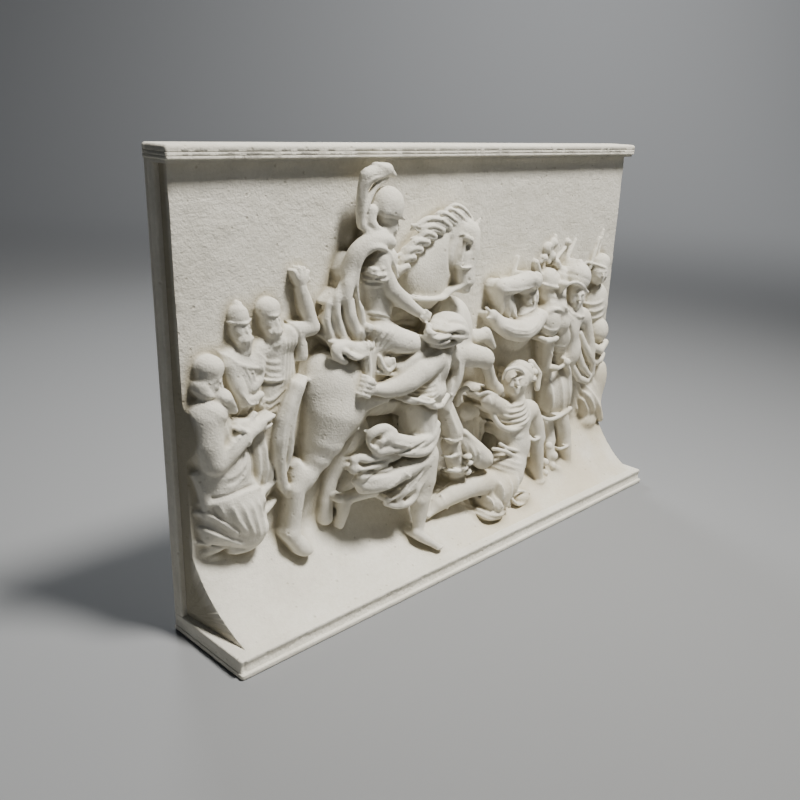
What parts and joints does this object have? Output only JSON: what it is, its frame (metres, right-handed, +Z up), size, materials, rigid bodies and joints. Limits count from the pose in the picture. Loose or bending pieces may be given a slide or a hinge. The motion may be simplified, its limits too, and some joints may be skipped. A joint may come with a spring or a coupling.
{
  "type": "bas-relief wall panel",
  "caption": "Upright plaster relief panel on its own plinth, with a plain cornice and a carved rider, horse and crowd standing out from a wall that sweeps forward at its foot.",
  "frame": {"origin": "bottom centre of the bounding box: the middle of the plinth's underside", "axes": "+X along the width to the right of a viewer who faces the carving, +Y towards the back face, +Z up"},
  "size_m": [0.211, 0.0348, 0.14],
  "materials": {
    "cast_plaster": "matte, dry cast plaster"
  },
  "bodies": {
    "root": {"relief_panel": "cast_plaster"}
  },
  "joints": []
}
